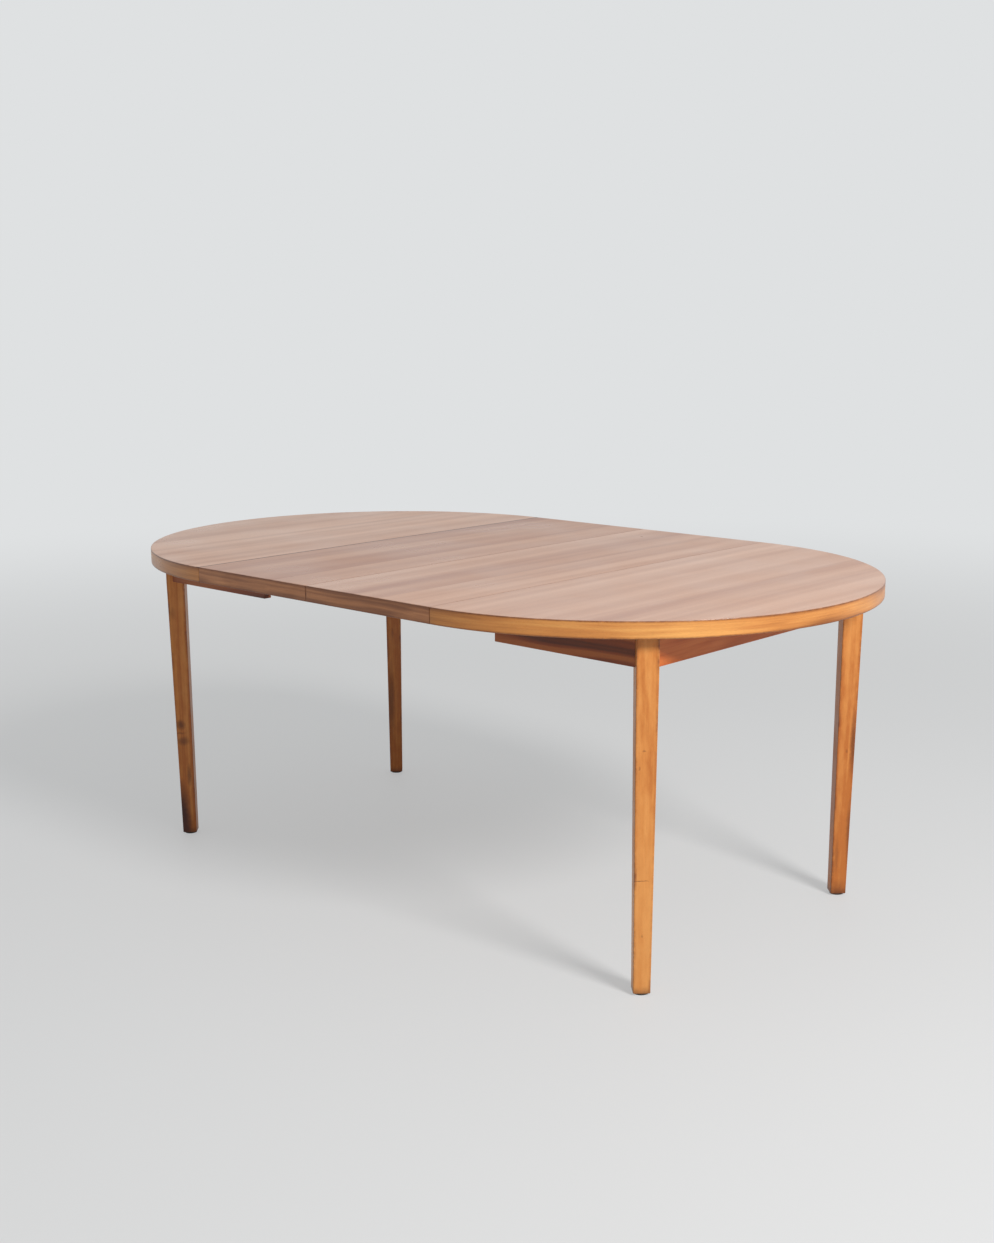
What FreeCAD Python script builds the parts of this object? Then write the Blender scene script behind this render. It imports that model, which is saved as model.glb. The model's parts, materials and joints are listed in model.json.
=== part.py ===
import FreeCAD, Part
import Sketcher
import os
import re

# An oval dining table that pulls out: two half-round ends on two legs each, and two loose leaves
# between them on wooden telescopic slides. X runs along the table, Y across it, Z up, and the
# origin lies on the floor under the middle of the table. The table stands pulled out.

# Driving dimensions in millimetres
driving = {
    # Top
    "table_height": 725,
    "top_radius": 550,
    "leaf_width": 350,
    "seam_gap": 0.8,
    "panel_thick": 22,
    "veneer": 1.5,
    "band_depth": 33,
    "band_thick": 18,
    "strip_width": 30,
    "arris": 1,
    # Frame
    "leg_inset": 27,
    "apron_thick": 19,
    "apron_depth": 71,
    "corner_thick": 28,
    "corner_height": 60,
    "bar_inset": 40,
    "bar_width": 60,
    "bar_thick": 25,
    "tenon_width": 40,
    "tenon_thick": 12,
    "tenon_length": 10,
    "glue_gap": 0.2,
    # Legs and their bolts
    "leg_top": 42,
    "leg_foot": 33,
    "leg_arris": 1.5,
    "glide_height": 4,
    "glide_radius": 15,
    "glide_bevel": 1,
    "bolt_radius": 4,
    "bolt_grip": 30,
    "bolt_spread": 30,
    "bolt_spare": 3,
    "bolt_play": 0.3,
    "nut_corner": 7.5,
    "nut_thick": 6.5,
    # Slides
    "slide_inset": 190,
    "rail_thick": 22,
    "rail_height": 45,
    "rail_room": 26,
    "slide_play": 0.5,
    "tongue_reach": 8,
    "tongue_height": 9.4,
    "groove_play": 0.3,
    "stop_radius": 3,
    "stop_inset": 12,
    "over_travel": 16,
    "tie_width": 50,
    "tie_thick": 25,
    # Blocks and screws under the top
    "block_size": 22,
    "block_length": 40,
    "block_gap": 5,
    "screw_radius": 2,
    "screw_head": 4,
    "screw_head_depth": 2.4,
    "screw_length": 35,
    "screw_play": 0.1,
    "rail_screw_inset": 50,
    "bar_screw_pitch": 30,
    "counterbore_play": 0.8,
    # Pegs in the seams
    "peg_radius": 5,
    "peg_embed": 20,
    "peg_reach": 14,
    "peg_taper": 2,
    "peg_inset": 112,
    "peg_play": 0.3,
    "peg_room": 2,
    # Latches under the seams
    "hook_room": 12,
    "pivot_inset": 45,
    "catch_inset": 15,
    "hook_thick": 2.5,
    "hook_width": 18,
    "hook_nose": 12,
    "hook_gap": 0.3,
    "notch_play": 1,
    "pivot_play": 0.08,
    "tab_height": 8,
    "tab_thick": 3,
    "latch_shank": 2.5,
    "latch_head": 5.5,
    "latch_head_thick": 2.5,
    "latch_grip": 14,
    # How far a cutting tool runs past the face that it opens
    "overrun": 5,
}

# Sizes that follow from the driving ones
derived = {
    "under": "table_height - panel_thick",
    "veneer_under": "table_height - veneer",
    "band_bottom": "table_height - band_depth",
    "core_radius": "top_radius - band_thick",
    "half_shift": "leaf_width + seam_gap * 3 / 2",
    "leaf_shift": "(leaf_width + seam_gap) / 2",
    "leaf_half": "leaf_width / 2",
    "leg_side": "leg_top / 2",
    "apron_inner": "(top_radius - leg_inset - leg_side) / sqrt(2)",
    "apron_reach": "apron_inner + apron_thick",
    "apron_bottom": "under - apron_depth",
    "foot_side": "leg_foot / 2",
    "leg_corner": "leg_top / sqrt(2)",
    "foot_place": "apron_inner - (leg_side - foot_side) / sqrt(2)",
    "corner_bottom": "under - corner_height",
    "rail_bottom": "under - rail_height",
    "rail_mid": "under - rail_height / 2",
    "rail_length": "apron_inner * 2 - rail_room",
    "rail_start": "apron_inner - rail_length",
    "slide_offset": "apron_inner - slide_inset",
    "rail_half": "rail_length / 2",
    "outer_face": "slide_offset + rail_thick / 2 + slide_play",
    "inner_face": "slide_offset - rail_thick / 2 - slide_play",
    "groove_side": "tongue_height / 2 + groove_play",
    "web_middle": "(rail_thick + tongue_reach) / 2",
    "tongue_start": "half_shift + rail_start + stop_inset + stop_radius + over_travel",
    "bar_bottom": "rail_bottom - bar_thick",
    "bar_end": "bar_inset + bar_width",
    "bar_middle": "bar_inset + bar_width / 2",
    "bar_level": "rail_bottom - bar_thick / 2",
    "tie_top": "rail_bottom - slide_play",
    "block_bottom": "under - block_size",
    "block_middle": "apron_inner - block_size / 2",
    "end_block_offset": "inner_face - rail_thick - block_gap - block_length / 2",
    "corner_end": "apron_inner - leg_corner - corner_thick * sqrt(2)",
    "side_block_place": "(bar_end + corner_end) / 2",
    "peg_pitch": "(core_radius - peg_inset) * 2 / 3",
    "peg_level": "(under + veneer_under) / 2",
    "hook_top": "under - hook_gap",
    "hook_bottom": "hook_top - hook_thick",
    "hook_reach": "pivot_inset + seam_gap + catch_inset",
    "latch_offset": "apron_inner - hook_room - hook_nose - hook_reach",
    "notch_radius": "latch_shank + notch_play",
    "latch_head_top": "hook_bottom - hook_gap",
    "bolt_out": "leg_side + corner_thick + nut_thick + bolt_spare",
    "nut_out": "leg_side + corner_thick + nut_thick",
}

# Places of the four pegs along a seam, as shares of their pitch
peg_shares = (-1.5, -0.5, 0.5, 1.5)

doc = FreeCAD.newDocument("extending_table")
sheet = doc.addObject("Spreadsheet::Sheet", "Sizes")
nodes = []

upright = FreeCAD.Rotation()
along_x = FreeCAD.Rotation(FreeCAD.Vector(0, 1, 0), 90)
against_x = FreeCAD.Rotation(FreeCAD.Vector(0, 1, 0), -90)
along_y = FreeCAD.Rotation(FreeCAD.Vector(1, 0, 0), -90)


def turned(degrees):
    return FreeCAD.Rotation(FreeCAD.Vector(0, 0, 1), degrees)


# Fills the spreadsheet with one row for each size
def fill_sheet():
    formulas = {name: "=" + text for name, text in derived.items()}
    for row, (name, text) in enumerate({**driving, **formulas}.items(), 1):
        sheet.set("A%d" % row, name)
        sheet.set("B%d" % row, str(text))
        sheet.setAlias("B%d" % row, name)
    doc.recompute()


# Writes a formula so that each size in it is read from the spreadsheet
def sized(text):
    def linked(word):
        name = word.group()
        return "Sizes." + name if name in driving or name in derived else name

    return re.sub(r"[a-z_]+", linked, text)


def number(text):
    return float(sheet.evalExpression(sized(text)))


def bind(item, field, text):
    item.setExpression(field, sized(text))


def move(item, x="0", y="0", z="0"):
    for axis, text in zip("xyz", (x, y, z)):
        bind(item, "Placement.Base." + axis, text)
    return item


# A range across the table from near to far, mirrored to the front when side is -1
def across(side, near, far):
    return (near, far) if side > 0 else ("-(%s)" % far, "-(%s)" % near)


def block(along, wide, tall):
    item = doc.addObject("Part::Box", "Block")
    for field, (low, high) in zip(("Length", "Width", "Height"), (along, wide, tall)):
        bind(item, field, "(%s) - (%s)" % (high, low))
    return move(item, along[0], wide[0], tall[0])


def rod(radius, length, x, y, z, turn=upright):
    item = doc.addObject("Part::Cylinder", "Rod")
    item.Placement = FreeCAD.Placement(FreeCAD.Vector(), turn)
    bind(item, "Radius", radius)
    bind(item, "Height", length)
    return move(item, x, y, z)


def taper(first, last, length, x, y, z, turn=upright):
    item = doc.addObject("Part::Cone", "Taper")
    item.Placement = FreeCAD.Placement(FreeCAD.Vector(), turn)
    bind(item, "Radius1", first)
    bind(item, "Radius2", last)
    bind(item, "Height", length)
    return move(item, x, y, z)


def joined(pieces):
    item = doc.addObject("Part::MultiFuse", "Joined")
    item.Shapes = pieces
    return item


def group(pieces):
    item = doc.addObject("Part::Compound", "Group")
    item.Links = pieces
    return item


def without(piece, tools):
    item = doc.addObject("Part::Cut", "Cut")
    item.Base = piece
    item.Tool = tools[0] if len(tools) == 1 else joined(tools)
    return item


def sketch_on(body, role, level="0"):
    sketch = body.newObject("Sketcher::SketchObject", "Sketch")
    plane = next(item for item in body.Origin.OriginFeatures if item.Role == role)
    sketch.AttachmentSupport = [(plane, "")]
    sketch.MapMode = "FlatFace"
    bind(sketch, "AttachmentOffset.Base.z", level)
    return sketch


# Draws a closed outline whose corners are held by the sizes in the spreadsheet
def outline(sketch, corners):
    places = [FreeCAD.Vector(number(x), number(y), 0) for x, y in corners]
    count = len(corners)
    for index, place in enumerate(places):
        sketch.addGeometry(Part.LineSegment(place, places[(index + 1) % count]))
    for index in range(count):
        sketch.addConstraint(Sketcher.Constraint("Coincident", index, 2, (index + 1) % count, 1))
    for index, (corner, place) in enumerate(zip(corners, places)):
        for kind, text, size in zip(("DistanceX", "DistanceY"), corner, place):
            held = sketch.addConstraint(Sketcher.Constraint(kind, -1, 1, index, 1, size))
            bind(sketch, "Constraints[%d]" % held, text)
    return sketch


# A body padded from one outline, on the plane XY_Plane or YZ_Plane
def prism(role, corners, low, high):
    body = doc.addObject("PartDesign::Body", "Body")
    sketch = outline(sketch_on(body, role, low), corners)
    pad = body.newObject("PartDesign::Pad", "Pad")
    pad.Profile = sketch
    bind(pad, "Length", "(%s) - (%s)" % (high, low))
    return body


# A body turned half way round the upright axis, with its open side at X = 0
def half_round(corners):
    body = doc.addObject("PartDesign::Body", "Body")
    sketch = outline(sketch_on(body, "XZ_Plane"), corners)
    turn = body.newObject("PartDesign::Revolution", "Revolution")
    turn.Profile = sketch
    turn.ReferenceAxis = (sketch, ["V_Axis"])
    turn.Angle = 180
    turn.Midplane = True
    return body


# Names a finished piece and seats it in the table
def node(label, item, x="0", y="0", turn=0):
    item.Label = label
    item.Placement = FreeCAD.Placement(FreeCAD.Vector(), turned(turn))
    nodes.append(move(item, x, y))


# A countersunk screw that points up, or with some play its hole
def screw(x, y, head, play="0"):
    shank = rod("screw_radius + %s" % play, "screw_length + %s" % play, x, y, head)
    head_cone = taper(
        "screw_head + %s" % play, "screw_radius + %s" % play, "screw_head_depth", x, y, head
    )
    return joined([shank, head_cone])


def screw_holes(places, head):
    return [screw(x, y, head, "screw_play") for x, y in places]


# A peg that sticks out of a seam face, towards +X when way is 1 and towards -X when it is -1
def peg(way, face, share):
    turn = along_x if way > 0 else against_x
    y = "peg_pitch * %s" % share
    start = "%s - %d * peg_embed" % (face, way)
    shoulder = "%s + %d * (peg_reach - peg_taper)" % (face, way)
    shaft = rod("peg_radius", "peg_embed + peg_reach - peg_taper", start, y, "peg_level", turn)
    tip = taper(
        "peg_radius", "peg_radius - peg_taper", "peg_taper", shoulder, y, "peg_level", turn
    )
    return joined([shaft, tip])


def pegs(way, face):
    return group([peg(way, face, share) for share in peg_shares])


# Holes that the pegs of a seam face are glued into
def peg_sockets(way, face):
    turn = along_x if way > 0 else against_x
    start = "%s - %d * peg_embed" % (face, way)
    return [
        rod("peg_radius + screw_play", "peg_embed + overrun", start, y, "peg_level", turn)
        for y in peg_rows()
    ]


# Holes in the facing seam, which the pegs slide into
def peg_holes(face):
    start = "%s - overrun" % face
    length = "overrun + peg_reach + peg_room"
    return [
        rod("peg_radius + peg_play", length, start, y, "peg_level", along_x) for y in peg_rows()
    ]


def peg_rows():
    return ["peg_pitch * %s" % share for share in peg_shares]


# A shouldered screw under the top, which carries a hook or catches one
def latch_screw(x, y):
    shank = rod("latch_shank", "under + latch_grip - latch_head_top", x, y, "latch_head_top")
    head = rod(
        "latch_head", "latch_head_thick", x, y, "latch_head_top - latch_head_thick"
    )
    return joined([shank, head])


def latch_screws(x):
    return [latch_screw(x, side + "latch_offset") for side in ("", "-")]


def latch_holes(x):
    length = "latch_grip + screw_play + overrun"
    return [
        rod("latch_shank + screw_play", length, x, side + "latch_offset", "under - overrun")
        for side in ("", "-")
    ]


# Half of a top's section, from its middle to the rim
top_section = [
    ("core_radius", "under"),
    ("core_radius", "veneer_under"),
    ("top_radius", "veneer_under"),
    ("top_radius", "table_height - arris"),
    ("top_radius - arris", "table_height"),
]

# Section of the solid wood band under the veneer's edge
band_section = [
    ("core_radius", "band_bottom"),
    ("top_radius - arris", "band_bottom"),
    ("top_radius", "band_bottom + arris"),
    ("top_radius", "veneer_under"),
    ("core_radius", "veneer_under"),
]


def mirrored(corners):
    return [("-(%s)" % across_table, level) for across_table, level in corners]


# Places of the blocks that hold a half's top to its frame
end_blocks = [("block_middle", text) for text in ("0", "end_block_offset", "-end_block_offset")]
side_blocks = [("side_block_place", side + "block_middle") for side in ("", "-")]

# The left half's rails run outside the middle ones, and the right half's run inside them
rail_faces = {
    "left": ("outer_face", "outer_face + rail_thick"),
    "right": ("inner_face - rail_thick", "inner_face"),
}
groove_faces = {
    "left": ("outer_face - overrun", "outer_face + tongue_reach"),
    "right": ("inner_face - tongue_reach", "inner_face + overrun"),
}
web_places = {"left": "outer_face + web_middle", "right": "inner_face - web_middle"}


def places_in_web(hand, rows):
    return [(x, "%s(%s)" % (side, web_places[hand])) for x in rows for side in ("", "-")]


def rail_screws(hand):
    return places_in_web(hand, ("bar_end + rail_screw_inset", "apron_inner - rail_screw_inset"))


def bar_screws(hand):
    rows = ("bar_middle - bar_screw_pitch / 2", "bar_middle + bar_screw_pitch / 2")
    return places_in_web(hand, rows)


def top_screws(hand):
    return end_blocks + side_blocks + rail_screws(hand)


# A half of the top, whose veneer covers the curved band and the strip at the seam
def half_panel(hand):
    board = half_round([("0", "under")] + top_section + [("0", "table_height")])
    rebate = block(
        ("-overrun", "strip_width"), ("-top_radius", "top_radius"), ("under - overrun", "veneer_under")
    )
    tools = [rebate] + screw_holes(top_screws(hand), "block_bottom")
    if hand == "left":
        tools += latch_holes("pivot_inset")
    return without(board, tools)


# The strip at a half's seam, which ends on the inner face of the curved band
def half_strip(hand):
    edge = "sqrt(core_radius ^ 2 - strip_width ^ 2)"
    corners = [
        ("0", "-core_radius"),
        ("strip_width", "-" + edge),
        ("strip_width", edge),
        ("0", "core_radius"),
    ]
    strip = prism("XY_Plane", corners, "under", "veneer_under")
    if hand == "left":
        return without(strip, peg_sockets(-1, "0"))
    return without(strip, peg_holes("0") + latch_holes("catch_inset"))


# A side rail of the frame, from the seam to the side face of its leg
def side_apron(side):
    mark = "" if side > 0 else "-"
    cut = "apron_inner - leg_corner"
    corners = [
        ("0", mark + "apron_reach"),
        (cut + " + apron_thick", mark + "apron_reach"),
        (cut, mark + "apron_inner"),
        ("0", mark + "apron_inner"),
    ]
    mortise = block(
        ("bar_middle - tenon_width / 2 - glue_gap", "bar_middle + tenon_width / 2 + glue_gap"),
        across(side, "apron_inner - overrun", "apron_inner + tenon_length + glue_gap"),
        ("bar_level - tenon_thick / 2 - glue_gap", "bar_level + tenon_thick / 2 + glue_gap"),
    )
    return without(prism("XY_Plane", corners, "apron_bottom", "under"), [mortise])


def end_apron():
    cut = "(apron_inner - leg_corner)"
    long_cut = "(apron_inner - leg_corner + apron_thick)"
    corners = [
        ("apron_inner", "-" + cut),
        ("apron_reach", "-" + long_cut),
        ("apron_reach", long_cut),
        ("apron_inner", cut),
    ]
    return prism("XY_Plane", corners, "apron_bottom", "under")


# A square leg section with its corners taken off and its inner face at X = -leg_side
def leg_section(half):
    cut = "(%s - leg_arris)" % half
    middle = "%s - leg_side" % half
    return [
        ("%s + %s" % (middle, half), "-" + cut),
        ("%s + %s" % (middle, half), cut),
        ("%s + %s" % (middle, cut), half),
        ("%s - %s" % (middle, cut), half),
        ("%s - %s" % (middle, half), cut),
        ("%s - %s" % (middle, half), "-" + cut),
        ("%s - %s" % (middle, cut), "-" + half),
        ("%s + %s" % (middle, cut), "-" + half),
    ]


# A rod on a leg's diagonal, from a distance inside the leg's middle and out towards the corner
def corner_rod(side, level, radius, inside, length):
    base = "apron_inner - (%s) / sqrt(2)" % inside
    mark = "" if side > 0 else "-"
    turn = turned(45 * side) * along_x
    return rod(radius, length, base, "%s(%s)" % (mark, base), level, turn)


bolt_levels = (
    "under - corner_height / 2 - bolt_spread / 2",
    "under - corner_height / 2 + bolt_spread / 2",
)


# A leg, straight beside the frame and tapered below it on all faces but the inner one
def leg(side):
    body = prism("XY_Plane", leg_section("leg_side"), "apron_bottom", "under")
    loft = body.newObject("PartDesign::AdditiveLoft", "Taper")
    loft.Profile = outline(sketch_on(body, "XY_Plane", "apron_bottom"), leg_section("leg_side"))
    loft.Sections = [outline(sketch_on(body, "XY_Plane", "glide_height"), leg_section("foot_side"))]
    loft.Ruled = True
    body.Placement = FreeCAD.Placement(FreeCAD.Vector(), turned(45 * side))
    move(body, "apron_inner", "apron_inner" if side > 0 else "-apron_inner")
    holes = [
        corner_rod(
            side, level, "bolt_radius + screw_play", "leg_side + overrun",
            "overrun + bolt_grip + screw_play",
        )
        for level in bolt_levels
    ]
    return without(body, holes)


# A block glued across a corner of the frame, which the leg is bolted to
def corner_block(side):
    mark = "" if side > 0 else "-"
    near = "(apron_inner - leg_corner)"
    corners = [
        (near, mark + "apron_inner"),
        ("apron_inner", mark + near),
        ("apron_inner", mark + "corner_end"),
        ("corner_end", mark + "apron_inner"),
    ]
    holes = [
        corner_rod(
            side, level, "bolt_radius + bolt_play", "leg_side + corner_thick + overrun",
            "corner_thick + overrun * 2",
        )
        for level in bolt_levels
    ]
    return without(prism("XY_Plane", corners, "corner_bottom", "under"), holes)


def leg_bolt(side, level):
    return corner_rod(side, level, "bolt_radius", "bolt_out", "bolt_out - leg_side + bolt_grip")


def leg_nut(side, level):
    nut = doc.addObject("Part::Prism", "Nut")
    nut.Polygon = 6
    nut.Placement = FreeCAD.Placement(FreeCAD.Vector(), turned(45 * side) * along_x)
    bind(nut, "Circumradius", "nut_corner")
    bind(nut, "Height", "nut_thick")
    base = "apron_inner - nut_out / sqrt(2)"
    move(nut, base, base if side > 0 else "-(%s)" % base, level)
    bore = corner_rod(side, level, "bolt_radius + screw_play", "bolt_out", "bolt_out")
    return without(nut, [bore])


def glide(side):
    y = "foot_place" if side > 0 else "-foot_place"
    foot = taper("glide_radius - glide_bevel", "glide_radius", "glide_bevel", "foot_place", y, "0")
    pad = rod("glide_radius", "glide_height - glide_bevel", "foot_place", y, "glide_bevel")
    return joined([foot, pad])


# The bar under a half's rails, with a tenon in each side apron
def cross_bar(hand):
    bar = block(
        ("bar_inset", "bar_end"), ("-apron_inner", "apron_inner"), ("bar_bottom", "rail_bottom")
    )
    tenons = block(
        ("bar_middle - tenon_width / 2", "bar_middle + tenon_width / 2"),
        ("-apron_inner - tenon_length", "apron_inner + tenon_length"),
        ("bar_level - tenon_thick / 2", "bar_level + tenon_thick / 2"),
    )
    return without(joined([bar, tenons]), screw_holes(bar_screws(hand), "bar_bottom"))


def stop_pin(hand, side, play="0"):
    low = across(side, *rail_faces[hand])[0]
    radius = "stop_radius + %s" % play
    return rod(radius, "rail_thick", "rail_start + stop_inset", low, "rail_mid", along_y)


# A fixed rail of a slide, grooved on the side of the middle rail
def fixed_rail(hand, side):
    rail = block(
        ("rail_start", "apron_inner"), across(side, *rail_faces[hand]), ("rail_bottom", "under")
    )
    groove = block(
        ("rail_start - overrun", "apron_inner + overrun"),
        across(side, *groove_faces[hand]),
        ("rail_mid - groove_side", "rail_mid + groove_side"),
    )
    sunk = [
        rod(
            "screw_head + counterbore_play", "block_bottom - rail_bottom + overrun", x, y,
            "rail_bottom - overrun",
        )
        for x, y in rail_screws(hand)
    ]
    tools = [groove, stop_pin(hand, side, "screw_play")] + sunk
    tools += screw_holes(rail_screws(hand), "block_bottom")
    tools += screw_holes(bar_screws(hand), "bar_bottom")
    return without(rail, tools)


tie_screws = [
    (x + "bar_screw_pitch / 2", y + "slide_offset") for x in ("", "-") for y in ("", "-")
]


# A middle rail, with a tongue for the left rail at one end and for the right rail at the other
def middle_rail(side):
    near, far = "slide_offset - rail_thick / 2", "slide_offset + rail_thick / 2"
    core = block(
        ("-rail_half", "rail_half"), across(side, near, far),
        ("rail_bottom + slide_play", "under - slide_play"),
    )
    tall = ("rail_mid - tongue_height / 2", "rail_mid + tongue_height / 2")
    outer = block(
        ("-rail_half", "-tongue_start"), across(side, far, far + " + tongue_reach"), tall
    )
    inner = block(
        ("tongue_start", "rail_half"), across(side, near + " - tongue_reach", near), tall
    )
    return without(joined([core, outer, inner]), screw_holes(tie_screws, "tie_top - tie_thick"))


# The bar that ties the two middle rails together, with a raised seat under each
def middle_tie():
    reach = "slide_offset + rail_thick / 2"
    along = ("-tie_width / 2", "tie_width / 2")
    bar = block(along, ("-(%s)" % reach, reach), ("tie_top - tie_thick", "tie_top"))
    seats = [
        block(
            along, across(side, "slide_offset - rail_thick / 2", reach),
            ("tie_top", "rail_bottom + slide_play"),
        )
        for side in (-1, 1)
    ]
    return without(joined([bar] + seats), screw_holes(tie_screws, "tie_top - tie_thick"))


# A block under the top, its long side against the apron
def top_block(x, y):
    long, short = "block_length / 2", "block_size / 2"
    half_x, half_y = (short, long) if x == "block_middle" else (long, short)
    piece = block(
        ("%s - %s" % (x, half_x), "%s + %s" % (x, half_x)),
        ("%s - %s" % (y, half_y), "%s + %s" % (y, half_y)),
        ("block_bottom", "under"),
    )
    return without(piece, screw_holes([(x, y)], "block_bottom"))


# A flat hook that turns on its screw, parked along the seam with its notch towards +X
def hook(side):
    half = "hook_width / 2"
    tall = ("hook_bottom", "hook_top")
    reach = "hook_reach + hook_nose"
    arm = block(("-" + half, half), across(side, "0", reach), tall)
    tail = rod(half, "hook_thick", "0", "0", "hook_bottom")
    tab = block(
        ("-" + half, half), across(side, reach + " - tab_thick", reach),
        ("hook_bottom - tab_height", "hook_bottom"),
    )
    low = "hook_bottom - overrun"
    through = "hook_thick + overrun * 2"
    tip = "hook_reach" if side > 0 else "-hook_reach"
    pivot = rod("latch_shank + pivot_play", through, "0", "0", low)
    seat = rod("notch_radius", through, "0", tip, low)
    mouth = block(
        ("0", half + " + overrun"),
        across(side, "hook_reach - notch_radius", "hook_reach + notch_radius"),
        (low, "hook_top + overrun"),
    )
    return without(joined([arm, tail, tab]), [pivot, seat, mouth])


# A half of the table, made with its seam at X = 0 and turned round for the left one
def make_half(hand):
    way = 1 if hand == "right" else -1
    x = "half_shift" if way > 0 else "-half_shift"
    turn = 0 if way > 0 else 180

    def add(name, item):
        node("%s_%s" % (hand, name), item, x, "0", turn)

    sides = [(side, "back" if side * way > 0 else "front") for side in (-1, 1)]
    corners = [(side, level) for side in (-1, 1) for level in bolt_levels]
    add("top_panel", half_panel(hand))
    add("edge_band", half_round(band_section))
    add("seam_strip", half_strip(hand))
    add("end_apron", end_apron())
    add("cross_bar", cross_bar(hand))
    for side, place in sides:
        add(place + "_apron", side_apron(side))
        add(place + "_leg", leg(side))
        add(place + "_rail", fixed_rail(hand, side))
    add("corner_blocks", group([corner_block(side) for side in (-1, 1)]))
    add("leg_bolts", group([leg_bolt(side, level) for side, level in corners]))
    add("leg_nuts", group([leg_nut(side, level) for side, level in corners]))
    add("foot_glides", group([glide(side) for side in (-1, 1)]))
    add("rail_stops", group([stop_pin(hand, side) for side in (-1, 1)]))
    add("top_blocks", group([top_block(x, y) for x, y in end_blocks + side_blocks]))
    screws = [screw(x, y, "block_bottom") for x, y in top_screws(hand)]
    screws += [screw(x, y, "bar_bottom") for x, y in bar_screws(hand)]
    add("frame_screws", group(screws))
    add("latch_screws", group(latch_screws("pivot_inset" if hand == "left" else "catch_inset")))
    if hand == "left":
        add("seam_pegs", pegs(-1, "0"))


# A loose leaf, whose veneer covers its two seam strips and its two end bands
def make_leaf(name, x):
    section = top_section + mirrored(top_section)[::-1]
    board = prism("YZ_Plane", section, "-leaf_half", "leaf_half")
    wide = ("-top_radius", "top_radius")
    tall = ("under - overrun", "veneer_under")
    rebates = [
        block(("-leaf_half - overrun", "-leaf_half + strip_width"), wide, tall),
        block(("leaf_half - strip_width", "leaf_half + overrun"), wide, tall),
    ]
    node(name + "_panel", without(board, rebates + latch_holes("leaf_half - pivot_inset")), x)
    bands = [
        prism("YZ_Plane", corners, "-leaf_half", "leaf_half")
        for corners in (band_section, mirrored(band_section))
    ]
    node(name + "_end_bands", group(bands), x)
    core = ("-core_radius", "core_radius")
    tall = ("under", "veneer_under")
    first = block(("-leaf_half", "-leaf_half + strip_width"), core, tall)
    last = block(("leaf_half - strip_width", "leaf_half"), core, tall)
    first = without(first, peg_holes("-leaf_half") + latch_holes("-leaf_half + catch_inset"))
    last = without(last, peg_sockets(1, "leaf_half"))
    node(name + "_seam_strips", group([first, last]), x)
    node(name + "_seam_pegs", pegs(1, "leaf_half"), x)
    screws = latch_screws("-leaf_half + catch_inset") + latch_screws("leaf_half - pivot_inset")
    node(name + "_latch_screws", group(screws), x)


# The middle rails of the slides and the bar between them
def make_middle():
    for side, place in ((-1, "front"), (1, "back")):
        node(place + "_middle_rail", middle_rail(side))
    node("middle_tie", middle_tie())
    screws = [screw(x, y, "tie_top - tie_thick") for x, y in tie_screws]
    node("middle_tie_screws", group(screws))


# Two hooks under each seam, on the screws of the piece to its left
def make_hooks():
    seams = {
        "left": "-half_shift - pivot_inset",
        "leaf_1": "-seam_gap / 2 - pivot_inset",
        "leaf_2": "leaf_shift + leaf_half - pivot_inset",
    }
    for owner, x in seams.items():
        for side, place in ((-1, "front"), (1, "back")):
            y = "latch_offset" if side > 0 else "-latch_offset"
            node("%s_%s_hook" % (owner, place), hook(side), x, y)


# Stops with a plain message if a feature failed or a piece isn't one or more sound solids
def check_model():
    for item in doc.Objects:
        if "Invalid" in item.State or "Error" in item.State:
            raise SystemExit("failed: %s %s" % (item.Label, item.State))
    for item in nodes:
        shape = item.Shape
        if shape.isNull() or not shape.isValid() or not shape.Solids:
            raise SystemExit("not a sound solid: " + item.Label)


fill_sheet()
make_half("left")
make_half("right")
make_leaf("leaf_1", "-leaf_shift")
make_leaf("leaf_2", "leaf_shift")
make_middle()
make_hooks()
doc.recompute()
check_model()

os.makedirs("parts", exist_ok=True)
for item in nodes:
    item.Shape.exportStep("parts/%s.step" % item.Label)
    print("%s: %d solids, %.0f mm3" % (item.Label, len(item.Shape.Solids), item.Shape.Volume))
print(len(nodes), "pieces")
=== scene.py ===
import json
import math
import random

import bmesh
import bpy
from mathutils import Euler, Matrix, Vector, noise

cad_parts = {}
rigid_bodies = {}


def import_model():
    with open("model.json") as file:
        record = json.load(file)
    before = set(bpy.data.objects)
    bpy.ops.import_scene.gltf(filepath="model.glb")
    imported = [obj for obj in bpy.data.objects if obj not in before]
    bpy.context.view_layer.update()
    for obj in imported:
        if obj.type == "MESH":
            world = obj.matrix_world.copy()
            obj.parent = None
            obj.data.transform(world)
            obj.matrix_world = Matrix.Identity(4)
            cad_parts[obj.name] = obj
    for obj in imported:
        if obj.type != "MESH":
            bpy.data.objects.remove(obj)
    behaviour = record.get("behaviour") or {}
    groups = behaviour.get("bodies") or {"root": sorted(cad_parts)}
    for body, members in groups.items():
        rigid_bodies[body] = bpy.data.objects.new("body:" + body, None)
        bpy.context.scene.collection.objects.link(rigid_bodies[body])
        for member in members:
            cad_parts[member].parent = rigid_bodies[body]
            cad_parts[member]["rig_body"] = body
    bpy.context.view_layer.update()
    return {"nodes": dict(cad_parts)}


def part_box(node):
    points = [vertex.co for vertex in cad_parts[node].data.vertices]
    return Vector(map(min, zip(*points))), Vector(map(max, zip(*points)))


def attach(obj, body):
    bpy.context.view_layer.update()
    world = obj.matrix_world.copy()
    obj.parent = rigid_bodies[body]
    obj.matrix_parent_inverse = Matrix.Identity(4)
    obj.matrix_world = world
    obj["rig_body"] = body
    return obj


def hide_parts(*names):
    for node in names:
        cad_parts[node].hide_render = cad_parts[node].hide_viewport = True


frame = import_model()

# An oval dining table of lacquered teak on beech legs, pulled out, with its two leaves in place.
# X runs along the table, Y across it and Z up, in metres. Small sizes are given in millimetres.

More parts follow.
